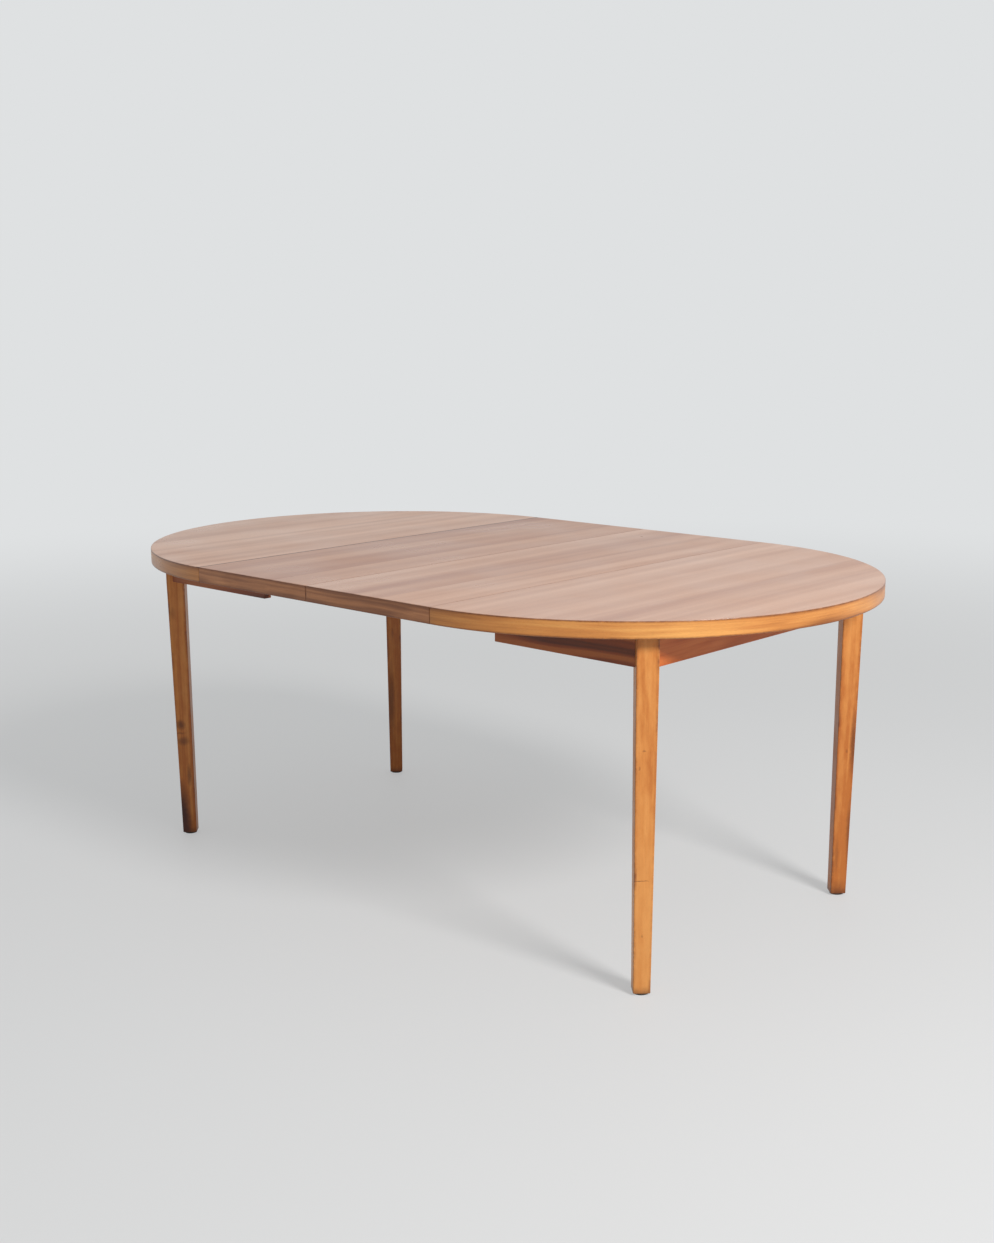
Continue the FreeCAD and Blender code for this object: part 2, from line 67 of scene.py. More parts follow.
nodes = frame["nodes"]
mm = 0.001
chance = random.Random(11)  # turns the slots of the screws
halves = {"left": -1, "right": 1}
leaves = ("leaf_1", "leaf_2")
longSides = ("front", "back")

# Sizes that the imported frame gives
bandLow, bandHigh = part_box("right_edge_band")
rimRadius = bandHigh.y
bandCentre = bandLow.x
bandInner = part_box("leaf_1_seam_strips")[1].y
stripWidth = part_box("right_seam_strip")[1].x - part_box("right_seam_strip")[0].x
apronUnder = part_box("right_end_apron")[0].z
boardNodes = {
    "left": "left_top_panel",
    "leaf_1": "leaf_1_panel",
    "leaf_2": "leaf_2_panel",
    "right": "right_top_panel",
}
boardSpans = {board: [corner.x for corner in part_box(node)] for board, node in boardNodes.items()}

# The boards to the left of the three seams, which carry the pegs and the hooks
seamBoards = ("left", "leaf_1", "leaf_2")


# Turns a colour written as sRGB hex into Blender's linear one
def linear(hexColour):
    shares = [int(hexColour[place:place + 2], 16) / 255 for place in (1, 3, 5)]
    return tuple(s / 12.92 if s <= 0.04045 else ((s + 0.055) / 1.055) ** 2.4 for s in shares) + (1,)


# Adds one node with its settings, links or sets its inputs, and places the stops of a ramp. A node
# among the inputs is linked by its first output.
def addNode(material, kind, inputs=None, stops=None, **settings):
    node = material.node_tree.nodes.new("ShaderNode" + kind)
    for name, value in settings.items():
        setattr(node, name, value)
    for key, value in (inputs or {}).items():
        if isinstance(value, bpy.types.Node):
            value = value.outputs[0]
        if isinstance(value, bpy.types.NodeSocket):
            material.node_tree.links.new(value, node.inputs[key])
        else:
            node.inputs[key].default_value = value
    if stops:
        ramp = node.color_ramp
        while len(ramp.elements) < len(stops):
            ramp.elements.new(1)
        for element, (place, colour) in zip(ramp.elements, stops):
            element.position = place
            element.color = colour
    return node


def grey(value):
    return (value, value, value, 1)


def newMaterial(name):
    material = bpy.data.materials.new(name)
    material.use_nodes = True
    material.node_tree.nodes.clear()
    return material


# Ends a material in one Principled shader, whose even values stand on its own sockets
def finishWith(material, colour, roughness, height, depth, **even):
    bump = addNode(material, "Bump", {"Height": height, "Distance": depth, "Strength": 1.0})
    inputs = {"Base Color": colour, "Roughness": roughness, "Normal": bump}
    shader = addNode(material, "BsdfPrincipled", inputs)
    for name, value in even.items():
        shader.inputs[name.replace("_", " ")].default_value = value
    addNode(material, "OutputMaterial", {"Surface": shader})
    return material


# Where most values of a noise lie, and where only its peaks do
noiseSpan = {"From Min": 0.3, "From Max": 0.7}
peakSpan = {"From Min": 0.56, "From Max": 0.7}


# Woods, whose grain runs along Y of their own grain space

# Where a point lies in the wood: X across the grain, Y along it, Z through the thickness
def grainPlace(material, grain):
    place = addNode(material, "TexCoord").outputs["Object"]
    if grain == "bent":
        # The length round the bend, so that the grain follows a half round band
        folded = addNode(material, "VectorMath", {0: place}, operation="ABSOLUTE")
        apart = addNode(material, "SeparateXYZ", {0: folded})
        inward = addNode(material, "Math", {0: apart.outputs["X"], 1: bandCentre}, operation="SUBTRACT")
        sides = addNode(material, "SeparateXYZ", {0: place})
        turn = addNode(material, "Math", {0: sides.outputs["Y"], 1: inward}, operation="ARCTAN2")
        along = addNode(material, "Math", {0: turn, 1: rimRadius}, operation="MULTIPLY")
        flat = addNode(material, "CombineXYZ", {"X": inward, "Y": sides.outputs["Y"]})
        out = addNode(material, "VectorMath", {0: flat}, operation="LENGTH")
        joined = {"X": out.outputs["Value"], "Y": along, "Z": sides.outputs["Z"]}
        return addNode(material, "CombineXYZ", joined)
    turns = {"across": (0, 0, 0), "along": (0, 0, 90), "up": (90, -45, 0)}
    turn = [math.radians(angle) for angle in turns[grain]]
    return addNode(material, "Mapping", {"Vector": place, "Rotation": turn})


# Noise whose spots are so many millimetres wide and long
def spots(material, place, width, length, detail=2.0, roughness=0.5):
    scale = (1 / (width * mm), 1 / (length * mm), 1 / (width * mm))
    stretched = addNode(material, "Mapping", {"Vector": place, "Scale": scale})
    inputs = {"Vector": stretched, "Scale": 1.0, "Detail": detail, "Roughness": roughness}
    return addNode(material, "TexNoise", inputs)


# Moves each point sideways by a few millimetres, so that the grain wanders as it runs
def wander(material, place, wood):
    sway = spots(material, place, wood["swayWidth"], wood["swayLength"], 1.5).outputs["Color"]
    centred = addNode(material, "VectorMath", {0: sway, 1: (0.5, 0.5, 0.5)}, operation="SUBTRACT")
    reach = (wood["sway"] * mm, 0, wood["sway"] * mm)
    return addNode(material, "VectorMath", {0: centred, 1: reach, 2: place}, operation="MULTIPLY_ADD")


# The tone at a place along a list of tones
def toneAlong(material, share, tones):
    stops = [(at, grey(0.5 + tone)) for at, tone in tones]
    ramp = addNode(material, "ValToRGB", {"Fac": share}, stops=stops)
    return addNode(material, "Math", {0: ramp, 1: 0.5}, operation="SUBTRACT")


# Growth rings round a pith that lies beside the plank and slightly out of line with it
def rings(material, place, wood):
    x, z = wood["pith"]
    lean = math.radians(wood["lean"])
    seat = {"Vector": place, "Location": (-x * mm, 0, -z * mm), "Rotation": (lean, 0, lean)}
    seen = addNode(material, "Mapping", seat)
    flat = addNode(material, "VectorMath", {0: seen, 1: (1, 0, 1)}, operation="MULTIPLY")
    radius = addNode(material, "VectorMath", {0: flat}, operation="LENGTH").outputs["Value"]
    count = addNode(material, "Math", {0: radius, 1: wood["ringWidth"] * mm}, operation="DIVIDE")
    inputs = {"W": count, "Scale": 1.0, "Detail": wood["ringDetail"], "Roughness": 0.6}
    return addNode(material, "TexNoise", inputs, noise_dimensions="1D")


# One wood with its finish. The tone, if there is one, darkens or lightens parts of the plank.
def woodFinish(name, wood, grain, tone=None, shift=None, marks=None):
    material = newMaterial(name)
    place = grainPlace(material, grain)
    if shift:
        place = shift(material, place)
    moved = wander(material, place, wood)
    ring = rings(material, moved, wood)
    streak = spots(material, moved, wood["streakWidth"], wood["streakLength"], wood["streakDetail"], 0.5)
    fibre = spots(material, moved, wood["fibreWidth"], wood["fibreLength"], 2.0, 0.6)
    pore = spots(material, moved, wood["poreWidth"], wood["poreLength"], 1.0)

    figure = {"Factor": wood["ringShare"], "A": streak, "B": ring}
    mixed = addNode(material, "Mix", figure, data_type="FLOAT")
    if tone:
        mixed = addNode(material, "Math", {0: mixed, 1: tone(material, moved)}, operation="ADD")
    low, high = wood["contrast"]
    shades = [linear(colour) for colour in wood["colours"]]
    steps = [low + (high - low) * index / (len(shades) - 1) for index in range(len(shades))]
    ramp = addNode(material, "ValToRGB", {"Fac": mixed}, stops=list(zip(steps, shades)))

    # Fibres lighten and darken the wood a little, and open pores hold dark finish
    fibreShades = {**noiseSpan, "To Min": 1 - wood["fibre"], "To Max": 1 + wood["fibre"]}
    fine = addNode(material, "MapRange", {"Value": fibre, **fibreShades})
    poreShades = {**peakSpan, "To Min": 1.0, "To Max": 1 - wood["pore"]}
    holes = addNode(material, "MapRange", {"Value": pore, **poreShades})
    both = addNode(material, "Math", {0: fine, 1: holes}, operation="MULTIPLY")
    colour = addNode(material, "VectorMath", {0: ramp, 1: both}, operation="MULTIPLY")
    if "worn" in wood:
        colour = wornArris(material, colour, wood)
    if marks:
        colour = marks(material, colour)

    # Sheen is uneven where cloths and sleeves have rubbed the lacquer
    rub = spots(material, place, wood["rubWidth"], wood["rubWidth"], 2.0)
    low, high = wood["roughness"]
    sheen = {"Value": rub, **noiseSpan, "To Min": low, "To Max": high}
    gloss = addNode(material, "MapRange", sheen)
    even = {"IOR": wood["ior"], "Coat_Weight": wood.get("coat", 0), "Coat_Roughness": 0.3}
    return finishWith(material, colour, gloss, both, wood["relief"] * mm, **even)


wornPatch = 14  # width in millimetres of the places where the arrises are worn


# Hands and knocks leave the arrises darker, more in some places than in others. On the veneer the same
# darkening beside the seams is also painted shade.
def wornArris(material, colour, wood):
    place = addNode(material, "TexCoord").outputs["Object"]
    patch = spots(material, place, wornPatch, wornPatch, 3.0, 0.6)
    wear = addNode(material, "Attribute", attribute_name="wear").outputs["Fac"]
    low, high = wood["wornShare"]
    spread = {"Value": patch, "From Min": 0.35, "From Max": 0.65, "To Min": low, "To Max": high}
    share = addNode(material, "MapRange", spread)
    amount = addNode(material, "Math", {0: wear, 1: share}, operation="MULTIPLY", use_clamp=True)
    mixed = {"Factor": amount, "A": colour, "B": linear(wood["worn"])}
    return addNode(material, "Mix", mixed, data_type="RGBA").outputs["Result"]


# Teak veneer, sliced thin and lacquered: brown-orange with long soft streaks, and a pale satin
# sheen at low angles, which turns it pinkish from across the room
teakVeneer = {
    "colours": ("#a06646", "#bb8868", "#d2a487"),
    "contrast": (0.2, 0.78),
    "pith": (90, 60), "lean": 1.2, "ringWidth": 34, "ringShare": 0.35, "ringDetail": 2.0,
    "sway": 16, "swayWidth": 160, "swayLength": 600,
    "streakWidth": 40, "streakLength": 1300, "streakDetail": 1.4,
    "fibreWidth": 2.2, "fibreLength": 90, "fibre": 0.05,
    "poreWidth": 0.5, "poreLength": 9, "pore": 0.16,
    # The worn colour darkens rubbed arrises, and beside the seams it also paints shade
    "worn": "#5f3216", "wornShare": (0.6, 0.95),
    "rubWidth": 180, "roughness": (0.27, 0.36), "relief": 0.02, "ior": 1.5,
}

# Each board's veneer: where its leaves of veneer end, counted from the board's left edge in
# millimetres, the broad bands that run across it, each with its place and tone, and its lacquer
boards = {
    "left": {
        "joints": (278,), "coat": 0.08,
        "bands": (
            (0, 0.17), (110, 0.1), (180, 0.15), (262, 0.19), (277, 0.13), (279, 0.05), (400, 0.14),
            (550, 0.12),
        ),
    },
    "leaf_1": {
        "joints": (247,), "coat": 0.08,
        "bands": ((0, -0.1), (70, -0.16), (150, -0.1), (220, -0.16), (246, -0.24), (249, -0.06), (350, -0.1)),
    },
    "leaf_2": {
        "joints": (211,), "coat": 0.2,
        "bands": ((0, 0.04), (70, -0.05), (120, -0.12), (180, 0.0), (210, -0.12), (213, 0.0), (350, 0.06)),
    },
    "right": {
        "joints": (304,), "coat": 0.35,
        "bands": (
            (0, -0.02), (60, 0.12), (130, 0.03), (215, -0.04), (290, 0.08), (304, -0.1), (400, 0.0),
            (470, 0.1), (550, 0.1),
        ),
    },
}


veneerSeeds = 7  # the number of a leaf of veneer is divided by this to seed its figure


# Makes one board's veneer, with a figure of its own in each leaf of veneer
def veneerFinish(board):
    low, high = boardSpans[board]
    width = high - low

    def share(place):
        return place * mm / width

    def acrossBoard(material, place):
        apart = addNode(material, "SeparateXYZ", {0: place})
        inputs = {"Value": apart.outputs["X"], "From Min": low, "From Max": high}
        return addNode(material, "MapRange", inputs)

    def leafOfVeneer(material, place):
        edges = (0,) + boards[board]["joints"]
        stops = [(share(edge), grey(index / veneerSeeds)) for index, edge in enumerate(edges)]
        plain = addNode(material, "TexCoord").outputs["Object"]
        which = addNode(material, "ValToRGB", {"Fac": acrossBoard(material, plain)}, stops=stops)
        which.color_ramp.interpolation = "CONSTANT"
        seed = list(boardNodes).index(board)
        seeded = addNode(material, "Math", {0: which, 1: seed}, operation="ADD")
        picked = addNode(material, "TexWhiteNoise", {"W": seeded}, noise_dimensions="1D").outputs["Color"]
        reach = (0.3, 4.0, 0.1)  # metres, far enough for another figure
        return addNode(material, "VectorMath", {0: picked, 1: reach, 2: place}, operation="MULTIPLY_ADD")

    def bandTone(material, place):
        plain = addNode(material, "TexCoord").outputs["Object"]
        across = acrossBoard(material, wander(material, plain, teakVeneer))
        return toneAlong(material, across, [(share(at), tone) for at, tone in boards[board]["bands"]])

    wood = {**teakVeneer, "coat": boards[board]["coat"]}
    return woodFinish("lacqueredTeakVeneer_" + board, wood, "across", bandTone, leafOfVeneer)


# Solid teak, bent round the halves and lacquered: golden orange with grain along the edge
teakEdge = {
    "colours": ("#874d1b", "#b97738", "#d2954f"),
    "contrast": (0.3, 0.72),
    "pith": (300, 690), "lean": 0.5, "ringWidth": 11, "ringShare": 0.5, "ringDetail": 3.0,
    "sway": 9, "swayWidth": 60, "swayLength": 260,
    "streakWidth": 7, "streakLength": 240, "streakDetail": 2.0,
    "fibreWidth": 1.2, "fibreLength": 45, "fibre": 0.06,
    "poreWidth": 0.5, "poreLength": 8, "pore": 0.15,
    "worn": "#6b3a1a", "wornShare": (0.25, 0.7),
    "rubWidth": 90, "roughness": (0.26, 0.36), "relief": 0.03, "ior": 1.5,
}

# The same teak on the leaves' ends, which have seen less light and are browner
leafEdge = {
    **teakEdge,
    "colours": ("#824e2b", "#ab7045", "#c68a59"),
    "ringWidth": 15, "ringShare": 0.6, "contrast": (0.3, 0.66),
    "sway": 14, "swayLength": 170, "streakLength": 170,
    "roughness": (0.32, 0.42),
}

# Stained and lacquered beech, planed square: warm orange, calm, with a satin gloss
beechLeg = {
    "colours": ("#ac6225", "#c27c3b", "#cd8b49"),
    "contrast": (0.26, 0.74),
    "pith": (260, 90), "lean": 1.4, "ringWidth": 12, "ringShare": 0.5, "ringDetail": 3.0,
    "sway": 9, "swayWidth": 60, "swayLength": 420,
    "streakWidth": 9, "streakLength": 320, "streakDetail": 2.0,
    "fibreWidth": 1.3, "fibreLength": 40, "fibre": 0.035,
    "poreWidth": 0.6, "poreLength": 5, "pore": 0.08,
    "worn": "#6d3415", "wornShare": (0.2, 0.9),
    "rubWidth": 60, "roughness": (0.32, 0.42), "relief": 0.02, "ior": 1.42,
}

# Stained beech of the side aprons, redder and darker than the legs, with slanting grain; the darkness is
# painted shade, as the side aprons stand in the top's shadow
shadedBeechApron = {
    **beechLeg,
    "colours": ("#572508", "#823d14", "#a15a29"),
    "contrast": (0.33, 0.66),
    "pith": (150, 500), "lean": 5.0, "ringWidth": 19, "ringShare": 0.7, "ringDetail": 1.5,
    "sway": 30, "swayLength": 300, "roughness": (0.36, 0.46),
}

# The end aprons: the same beech, lightened to orange with painted light, as they face the lamp's side
litBeechEndApron = {**shadedBeechApron, "colours": ("#7a3510", "#b65b20", "#d27c3c")}

# Bare beech of the slides, waxed where it runs: pale pinkish brown with short dark flecks
bareBeech = {
    **beechLeg,
    "colours": ("#b58a62", "#c89f76", "#d6b28a"),
    "ringWidth": 4, "pore": 0.25,
    "roughness": (0.5, 0.62), "relief": 0.05,
}

# Sawn pine of the blocks, unfinished: yellow with strong rings, dull
sawnPine = {
    **beechLeg,
    "colours": ("#b98748", "#d9b277", "#e7c793"),
    "pith": (40, 30), "ringWidth": 4.5, "ringShare": 0.8,
    "roughness": (0.62, 0.75), "relief": 0.08,
}

# Plain veneer on the underside, unlacquered: dull brown, which only balances the top
backVeneer = {
    **teakVeneer,
    "colours": ("#8a6444", "#a07a56", "#b08b66"),
    "ringWidth": 14, "roughness": (0.6, 0.72), "relief": 0.05,
}


# Zinc-plated steel, tumbled: light grey with a soft uneven gleam
zincSteel = {
    "blotch": 3, "detail": 3.0, "grit": 0.5,
    "colours": ((0.3, "#8f9294"), (0.7, "#b9bbba")),
    "roughness": (0.32, 0.5), "relief": 0.02,
}

# Brass, stamped from strip and left to tarnish: dull yellow, browner in blotches, finely scratched
tarnishedBrass = {
    "blotch": 9, "detail": 4.0, "grit": 0.5,
    "colours": ((0.3, "#8a6a35"), (0.6, "#c7a45b"), (0.8, "#d6b66d")),
    "roughness": (0.5, 0.3), "relief": 0.01, "scratch": (0.4, 12),
}

# Pressed wool felt: near black with dust in it, and no gloss. Its fibres are drawn coarse to show.
woolFelt = {
    "blotch": 0.7, "detail": 4.0, "grit": 0.7,
    "colours": ((0.3, "#2b211b"), (0.7, "#4d4037")),
    "roughness": (0.9, 1.0), "relief": 0.5,
}


# The finish of a fixing or a glide, whose colour and gloss change together from blotch to blotch
def blotchyFinish(name, kind, **even):
    material = newMaterial(name)
    place = addNode(material, "TexCoord").outputs["Object"]
    blotch = spots(material, place, kind["blotch"], kind["blotch"], kind["detail"], kind["grit"])
    stops = [(at, linear(colour)) for at, colour in kind["colours"]]
    colour = addNode(material, "ValToRGB", {"Fac": blotch}, stops=stops)
    low, high = kind["roughness"]
    gleam = addNode(material, "MapRange", {"Value": blotch, **noiseSpan, "To Min": low, "To Max": high})
    height = blotch
    if "scratch" in kind:
        height = spots(material, place, *kind["scratch"], 1.0)
    return finishWith(material, colour, gleam, height, kind["relief"] * mm, **even)


# Meshes

cornerSteps = 4  # flats on each eased corner
cornerPoints = cornerSteps + 3  # the ends of the flats and one point beside the corner on each side


# Points round a rectangle with eased corners, each with 1 on a corner's curve and 0 beside it
def easedSection(low, high, radii, margin):
    points = []
    corners = ((1, -1), (1, 1), (-1, 1), (-1, -1))
    quarter = math.radians(90)
    for turn, ((across, up), radius) in enumerate(zip(corners, radii)):
        x = (high[0] if across > 0 else low[0]) - across * radius
        y = (high[1] if up > 0 else low[1]) - up * radius
        start = math.radians(-90 + 90 * turn)
        angles = [start + quarter * step / cornerSteps for step in range(cornerSteps + 1)]
        curve = [Vector((x + radius * math.cos(a), y + radius * math.sin(a))) for a in angles]
        before = Vector((-math.sin(start), math.cos(start)))
        after = Vector((-math.sin(start + quarter), math.cos(start + quarter)))
        begin = Vector((x, y)) + radius * Vector((math.cos(start), math.sin(start)))
        points.append((begin - before * margin, 0))
        points += [(point, 1) for point in curve]
        points.append((curve[-1] + after * margin, 0))
    return points


# Skins closed loops of points one after another and caps both ends
def skinOf(loops, shell=None):
    shell = shell or bmesh.new()
    wear = shell.verts.layers.float.get("wear") or shell.verts.layers.float.new("wear")
    rows = []
    for loop in loops:
        row = []
        for point, rubbed in loop:
            vertex = shell.verts.new(point)
            vertex[wear] = rubbed
            row.append(vertex)
        rows.append(row)
    for first, second in zip(rows, rows[1:]):
        for index in range(len(first)):
            after = (index + 1) % len(first)
            shell.faces.new((first[index], first[after], second[after], second[index]))
    shell.faces.new(reversed(rows[0]))
    shell.faces.new(rows[-1])
    return shell


# Turns a piece about an upright axis through a centre, from its profile of radius and height
def turnPiece(shell, centre, profile, steps):
    angles = [math.tau * step / steps for step in range(steps)]
    loops = []
    for radius, height in profile:
        ring = [Vector((radius * math.cos(a), radius * math.sin(a), height)) for a in angles]
        loops.append([(point + centre, 0) for point in ring])
    skinOf(loops, shell)


# The middle of a solid's underside
def undersideOf(low, high):
    return Vector(((low.x + high.x) / 2, (low.y + high.y) / 2, low.z))


# The way from the table's middle to the corner that a place belongs to
def outwardAt(place):
    return Vector((math.copysign(1, place.x), math.copysign(1, place.y), 0)).normalized()


# The same solid as a CAD piece, with its flat faces whole again
def shellOf(nodeName):
    shell = bmesh.new()
    shell.from_mesh(nodes[nodeName].data)
    bmesh.ops.remove_doubles(shell, verts=shell.verts, dist=0.001 * mm)
    bmesh.ops.dissolve_limit(
        shell, angle_limit=math.radians(0.05), verts=shell.verts, edges=shell.edges, delimit={"NORMAL"}
    )
    return shell


# Takes the long sharp edges off a piece, as a plane and sandpaper do
def easeEdges(shell, radius, longerThan=6 * mm):
    sharp = [
        edge for edge in shell.edges
        if edge.calc_face_angle(0) > math.radians(40) and edge.calc_length() > longerThan
    ]
    bmesh.ops.bevel(
        shell, geom=sharp, offset=radius, offset_type="OFFSET", segments=2, profile=0.5,
        affect="EDGES", clamp_overlap=True,
    )
    return shell


# Makes an object of a shell, on the body of the CAD piece that it stands for
def addPiece(name, shell, finish, nodeName):
    bmesh.ops.recalc_face_normals(shell, faces=shell.faces)
    mesh = bpy.data.meshes.new(name)
    shell.to_mesh(mesh)
    shell.free()
    mesh.shade_smooth()
    mesh.set_sharp_from_angle(angle=math.radians(50))
    mesh.materials.append(finish)
    piece = bpy.data.objects.new(name, mesh)
    bpy.context.scene.collection.objects.link(piece)
    even = piece.modifiers.new("evenShading", "WEIGHTED_NORMAL")
    even.keep_sharp = True
    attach(piece, nodes[nodeName]["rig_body"])
    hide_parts(nodeName)
    return piece


# Top

top = {
    "rimEase": 1.0 * mm,
    "rimStain": 3.0 * mm,
    "seamEase": 0.4 * mm,
    # The seam's dark strip of old polish and painted shade: its width and its reach
    "seamDirtAndShadeWidth": 3.5 * mm,
    "seamDirtAndShadeReach": 4.5 * mm,
    "cornerReach": 4 * mm,
    "underEase": 0.35 * mm,
    "boardEase": 0.5 * mm,
    "slideRoom": 0.15 * mm,
    "rimSteps": 180,
}


# Angles round a half, from near one end of its seam to near the other
def halfTurns(start, steps):
    return [-math.pi / 2 + start + (math.pi - 2 * start) * step / steps for step in range(steps + 1)]


# Plan outline of a half, from one end of its seam round to the other
def halfOutline(side, radius, fromSeam):
    turns = halfTurns(math.asin(fromSeam / radius), top["rimSteps"])
    return [(side * (bandCentre + radius * math.cos(turn)), radius * math.sin(turn)) for turn in turns]


def leafOutline(leaf, reach, fromSeam):
    low, high = boardSpans[leaf]
    low, high = low + fromSeam, high - fromSeam
    beside = top["cornerReach"]
    front = [(low, -reach), (low + beside, -reach), (high - beside, -reach), (high, -reach)]
    return front + [(x, -y) for x, y in reversed(front)]


def boardOutline(board, reach, fromSeam):
    if board in halves:
        return halfOutline(halves[board], reach, fromSeam)
    return leafOutline(board, reach, fromSeam)


# How dark the veneer is beside each seam, from the left one to the right one: partly old polish gathered
# there and partly painted shade of the seam's gap, most at the left seam. Above 1 it is as dark as it gets
# over a wider strip.
seamDirtAndShade = (3.0, 0.45, 0.45)


# The seam's dirt and painted shade at a place, or None away from the seams
def seamDirtAndShadeAt(x):
    for board, dirt in zip(seamBoards, seamDirtAndShade):
        if abs(x - boardSpans[board][1]) < top["seamDirtAndShadeReach"]:
            return dirt
    return None


# A board's veneer: eased over at the top, and just broken below, which leaves the glue line
def veneerLoops(board, low, high):
    rimEase, seamEase, underEase = top["rimEase"], top["seamEase"], top["underEase"]
    layers = [(underEase, underEase, low, 1, 1), (0, 0, low + underEase, 1, 1)]
    for step in range(cornerSteps + 1):
        angle = math.radians(90) * step / cornerSteps
        inset = 1 - math.cos(angle)
        drop = 1 - math.sin(angle)
        rubbed = 1 - step / (cornerSteps + 1)
        layers.append((rimEase * inset, seamEase * inset, high - rimEase * drop, rubbed, 1))
    layers.append((top["rimStain"], top["seamDirtAndShadeWidth"], high, 0, 0))
    loops = []
    for rim, seam, level, rubbed, dirty in layers:
        loop = []
        for x, y in boardOutline(board, rimRadius - rim, seam):
            # Beside a seam the veneer is darkened with old polish and painted shade of the seam's gap
            dirt = seamDirtAndShadeAt(x)
            loop.append((Vector((x, y, level)), rubbed if dirt is None else dirty * dirt))
        loops.append(loop)
    return loops


# The board under the veneer, between its seam strips
def boardLoops(board, low, high):
    ease = top["boardEase"]
    layers = [(ease, low), (0, low + ease), (0, high)]
    loops = []
    for inset, level in layers:
        outline = boardOutline(board, bandInner - inset, stripWidth + inset)
        loops.append([(Vector((x, y, level)), 0) for x, y in outline])
    return loops


def makeTop():
    backing = woodFinish("plainBackVeneer", backVeneer, "across")
    for board, nodeName in boardNodes.items():
        low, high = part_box(nodeName)
        veneer = skinOf(veneerLoops(board, bandHigh.z, high.z))
        addPiece(board + "Veneer", veneer, veneerFinish(board), nodeName)
        core = skinOf(boardLoops(board, low.z + top["slideRoom"], bandHigh.z))
        addPiece(board + "Board", core, backing, nodeName)
    print("top boards:", len(boards))


# Edge bands

band = {
    "outerEase": 1.6 * mm,
    "glueEase": 0.55 * mm,
    "innerEase": 0.6 * mm,
    "endEase": 0.4 * mm,
    "endStain": 2.2 * mm,
    "margin": 2.5 * mm,
    "steps": 180,
}


def bandSection(inset):
    radii = (band["outerEase"], band["glueEase"], band["glueEase"], band["innerEase"])
    low = (bandInner + inset, bandLow.z + inset)
    high = (rimRadius - inset, bandHigh.z - inset)
    return easedSection(low, high, radii, band["margin"])


# A half's band, bent round and cut off square at the seam
def halfBandLoops(side):
    turns = halfTurns(band["endEase"] / rimRadius, band["steps"])
    sections = [(turn, 0) for turn in turns]
    sections = [(-math.pi / 2, band["endEase"])] + sections + [(math.pi / 2, band["endEase"])]
    loops = []
    for turn, inset in sections:
        loop = []
        for (out, level), rubbed in bandSection(inset):
            place = (side * (bandCentre + out * math.cos(turn)), out * math.sin(turn), level)
            loop.append((Vector(place), rubbed))
        loops.append(loop)
    return loops


# How dark the left and the right joint of each leaf's bands have become
jointDirt = {"leaf_1": (0, 1.4), "leaf_2": (1.4, 1.4)}


def leafBandLoops(leaf, side):
    low, high = boardSpans[leaf]
    ease = band["endEase"]
    stain = ease + band["endStain"]
    before, after = jointDirt[leaf]
    stations = [
        (low, ease, before), (low + ease, 0, before), (low + stain, 0, 0),
        (high - stain, 0, 0), (high - ease, 0, after), (high, ease, after),
    ]
    loops = []
    for x, inset, dirt in stations:
        section = bandSection(inset)
        loop = [(Vector((x, side * out, level)), max(rubbed, dirt)) for (out, level), rubbed in section]
        loops.append(loop)
    return loops


# The bent band's tone at some angles from the table's end, in degrees: partly the teak's own tone and partly
# painted light, with a painted highlight near -38 degrees and painted shade near -20 degrees
bandTonesAndHighlight = (
    (-90, -0.06), (-70, 0.0), (-54, 0.02), (-38, 0.18), (-30, 0.1), (-20, -0.05), (-6, -0.03), (10, 0.12),
    (40, 0.04), (90, 0.0),
)

# Tones up the height of each kind of band, from 0 at its lower edge to 1 at its upper one: the bent
# band is darker along the top, and the leaves' bands have a dark and a light stripe
bentStripes = ((0.0, -0.08), (0.16, 0.02), (0.55, 0.03), (0.8, 0.0), (0.9, -0.08), (1.0, -0.14))
leafStripes = (
    (0.0, -0.06), (0.2, -0.04), (0.34, 0.08), (0.52, 0.06), (0.66, -0.05), (0.8, 0.05), (0.92, -0.08),
)


def stripeTone(material, apart, stripes):
    inputs = {"Value": apart.outputs["Z"], "From Min": bandLow.z, "From Max": bandHigh.z}
    return toneAlong(material, addNode(material, "MapRange", inputs), stripes)


def bentBandToneAndHighlight(material, moved):
    apart = addNode(material, "SeparateXYZ", {0: moved})
    half = math.pi / 2 * rimRadius
    inputs = {"Value": apart.outputs["Y"], "From Min": -half, "From Max": half}
    share = addNode(material, "MapRange", inputs)
    # The teak's tone round the bend, with its painted highlight and painted shade
    bend = toneAlong(material, share, [((angle + 90) / 180, tone) for angle, tone in bandTonesAndHighlight])
    stripe = stripeTone(material, apart, bentStripes)
    return addNode(material, "Math", {0: bend, 1: stripe}, operation="ADD")


def leafBandTone(material, moved):
    return stripeTone(material, addNode(material, "SeparateXYZ", {0: moved}), leafStripes)


def makeBands():
    bent = woodFinish("lacqueredTeakEdgeHighlighted", teakEdge, "bent", bentBandToneAndHighlight)
    straight = woodFinish("lacqueredTeakLeafEdge", leafEdge, "along", leafBandTone)
    for half, side in halves.items():
        addPiece(half + "Band", skinOf(halfBandLoops(side)), bent, half + "_edge_band")
    for leaf in leaves:
        shell = skinOf(leafBandLoops(leaf, -1))
        skinOf(leafBandLoops(leaf, 1), shell)
        addPiece(leaf + "Bands", shell, straight, leaf + "_end_bands")
    print("edge bands done")


# Legs

leg = {
    "ease": 1.8 * mm,
    "worn": 0.9 * mm,
    "margin": 4 * mm,
    "footEase": 0.8 * mm,
    "station": 9 * mm,
    "wornLength": 70 * mm,
    "arrisApart": 5.3,
    "legApart": 7.1,
    "evenWear": 0.35,
    "moreWear": 1.1,
    "markColour": "#40180a",
    "markDepth": 14 * mm,
    "faceShare": 0.72,
    "ragged": 8 * mm,
    "dirtTop": 26 * mm,
    "dirtLow": 4 * mm,
    "dirt": 0.6,
}

